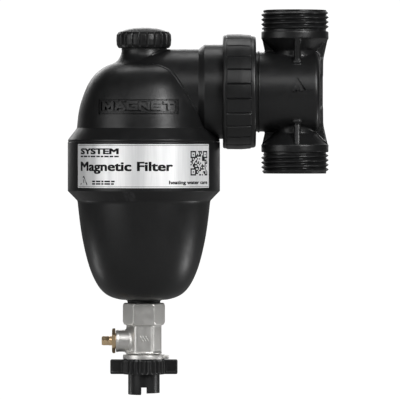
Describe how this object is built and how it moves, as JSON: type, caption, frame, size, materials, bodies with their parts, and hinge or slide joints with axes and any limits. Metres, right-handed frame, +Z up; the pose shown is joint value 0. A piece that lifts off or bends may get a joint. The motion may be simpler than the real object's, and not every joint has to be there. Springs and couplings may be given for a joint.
{
  "type": "magnetic system filter",
  "caption": "Heating system filter: canister with a withdrawable magnet stack and a drain cock, hung from a swivelling tee with male pipe threads.",
  "frame": {"origin": "where the pipe line through the two ports crosses the branch axis, at the centre of the tee", "axes": "+Z up along the ports, +X from the canister towards the tee, -Y is the front with the label"},
  "size_m": [0.1278, 0.0746, 0.1883],
  "materials": {
    "black_nylon": "satin moulded nylon",
    "white_plastic": "natural moulded plastic",
    "rubber": "black sealing rubber",
    "steel": "stainless steel",
    "magnet": "nickel-plated magnet",
    "nickel": "satin nickel plating on brass",
    "brass": "machined brass",
    "label": "brushed silver foil"
  },
  "bodies": {
    "tee": {"tee_body": "black_nylon", "flow_diverter": "white_plastic", "union_o_ring": "rubber"},
    "slip_ring": {"union_slip_ring": "white_plastic"},
    "nut": {"union_nut": "black_nylon"},
    "canister": {"upper_body": "black_nylon", "lower_body": "black_nylon", "body_seal": "rubber", "label_plate": "label", "separator_tube": "white_plastic", "inner_pipe_seal": "rubber", "swirl_baffle": "white_plastic", "magnet_sleeve": "steel", "sleeve_o_ring": "rubber", "drain_cock_body": "nickel", "drain_stub_seal": "rubber", "drain_tail": "nickel", "upper_ball_seat": "white_plastic", "lower_ball_seat": "white_plastic", "spindle_packing": "rubber", "spindle_gland_nut": "brass", "cap_retaining_ring": "nickel"},
    "cap_seal": {"top_cap_seal": "rubber"},
    "magnet_stack": {"magnet_rod": "steel", "magnet_rod_nut": "steel", "pole_disc_1": "steel", "pole_disc_2": "steel", "pole_disc_3": "steel", "pole_disc_4": "steel", "pole_disc_5": "steel", "magnet_1": "magnet", "magnet_2": "magnet", "magnet_3": "magnet", "magnet_4": "magnet"},
    "cap": {"top_cap": "black_nylon"},
    "drain_washer": {"drain_cap_washer": "rubber"},
    "drain_cap": {"drain_cap": "black_nylon"},
    "drain_valve": {"drain_ball": "nickel", "drain_spindle": "brass"}
  },
  "joints": [
    {"name": "canister_swivel", "type": "hinge", "parent": "tee", "child": "canister", "pos_m": [-0.03, 0, 0], "axis": [1, 0, 0], "continuous": true},
    {"name": "union_nut_travel", "type": "slide", "parent": "tee", "child": "slip_ring", "axis": [1, 0, 0], "range_m": [0, 0.0024]},
    {"name": "union_nut_turn", "type": "hinge", "parent": "slip_ring", "child": "nut", "pos_m": [-0.027, 0, 0], "axis": [1, 0, 0], "range_deg": [0, 380]},
    {"name": "magnet_withdraw", "type": "slide", "parent": "canister", "child": "cap_seal", "axis": [0, 0, 1], "range_m": [0, 0.105]},
    {"name": "cap_thread_travel", "type": "slide", "parent": "cap_seal", "child": "magnet_stack", "axis": [0, 0, 1], "range_m": [0, 0.0075]},
    {"name": "top_cap_turn", "type": "hinge", "parent": "magnet_stack", "child": "cap", "pos_m": [-0.074, 0, 0.025], "axis": [0, 0, 1], "range_deg": [0, 902]},
    {"name": "drain_cap_travel", "type": "slide", "parent": "canister", "child": "drain_washer", "axis": [0, 0, -1], "range_m": [0, 0.0055]},
    {"name": "drain_cap_turn", "type": "hinge", "parent": "drain_washer", "child": "drain_cap", "pos_m": [-0.074, 0, -0.135], "axis": [0, 0, -1], "range_deg": [0, 1500]},
    {"name": "drain_spindle_turn", "type": "hinge", "parent": "canister", "child": "drain_valve", "pos_m": [-0.074, 0, -0.122], "axis": [1, 0, 0], "range_deg": [0, 90]}
  ],
  "couplings": [
    {"joint": "union_nut_turn", "follows": "union_nut_travel", "rad_per_m": 2721.2},
    {"joint": "top_cap_turn", "follows": "cap_thread_travel", "rad_per_m": 2094.4},
    {"joint": "drain_cap_turn", "follows": "drain_cap_travel", "rad_per_m": 4699.5}
  ]
}
